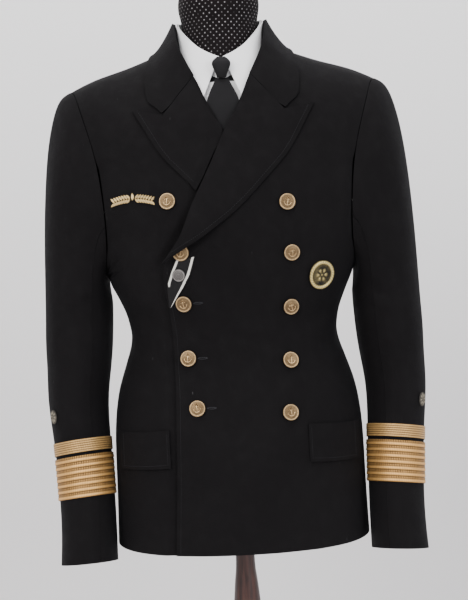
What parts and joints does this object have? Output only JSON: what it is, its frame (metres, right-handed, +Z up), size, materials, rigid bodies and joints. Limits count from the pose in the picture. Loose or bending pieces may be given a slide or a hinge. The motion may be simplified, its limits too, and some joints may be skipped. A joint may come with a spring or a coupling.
{
  "type": "military uniform on a dress form",
  "caption": "Navy wool double-breasted naval jacket with peaked lapels, gold cuff lace, white shirt and dark tie, worn by a limbless dress form on a turned wooden stand.",
  "frame": {"origin": "on the floor, at the centre of the underside of the stand's round foot", "axes": "+Z up, -Y the way the jacket faces, +X the wearer's left"},
  "size_m": [0.5286, 0.38, 1.565],
  "materials": {
    "navy_wool": "heavy fulled navy wool, matt",
    "gilt_brass": "dull gilt brass, pressed in relief",
    "gold_lace": "gold wire lace and bullion",
    "pewter": "dull grey metal",
    "ribbon_cloth": "dark ribbon with two pale stripes",
    "white_cotton": "pressed white cotton",
    "black_silk": "black silk, low sheen",
    "form_canvas": "dark cloth over a smooth form",
    "dotted_cloth": "dark cloth with small pale dots",
    "red_brown_wood": "varnished red-brown wood"
  },
  "bodies": {
    "root": {"front_left": "navy_wool", "front_right": "navy_wool", "back_left": "navy_wool", "back_right": "navy_wool", "lapel_left": "navy_wool", "lapel_right": "navy_wool", "collar_fall": "navy_wool", "collar_stand": "navy_wool", "top_sleeve_left": "navy_wool", "top_sleeve_right": "navy_wool", "under_sleeve_left": "navy_wool", "under_sleeve_right": "navy_wool", "pocket_flap_left": "navy_wool", "pocket_flap_right": "navy_wool", "button_left_1": "gilt_brass", "button_left_2": "gilt_brass", "button_left_3": "gilt_brass", "button_left_4": "gilt_brass", "button_left_5": "gilt_brass", "button_right_1": "gilt_brass", "button_right_2": "gilt_brass", "button_right_3": "gilt_brass", "button_right_4": "gilt_brass", "button_right_5": "gilt_brass", "lace_narrow_left": "gold_lace", "lace_narrow_right": "gold_lace", "lace_wide_left": "gold_lace", "lace_wide_right": "gold_lace", "cuff_badge_left": "gold_lace", "cuff_badge_right": "gold_lace", "breast_spray": "gold_lace", "round_badge": "gold_lace", "ribbon_clasp": "pewter", "ribbon": "ribbon_cloth", "shirt_front": "white_cotton", "shirt_band": "white_cotton", "shirt_collar": "white_cotton", "tie_knot": "black_silk", "tie_blade": "black_silk", "form_torso": "form_canvas", "form_neck": "dotted_cloth", "stand_pole": "red_brown_wood", "stand_foot": "red_brown_wood"}
  },
  "joints": []
}
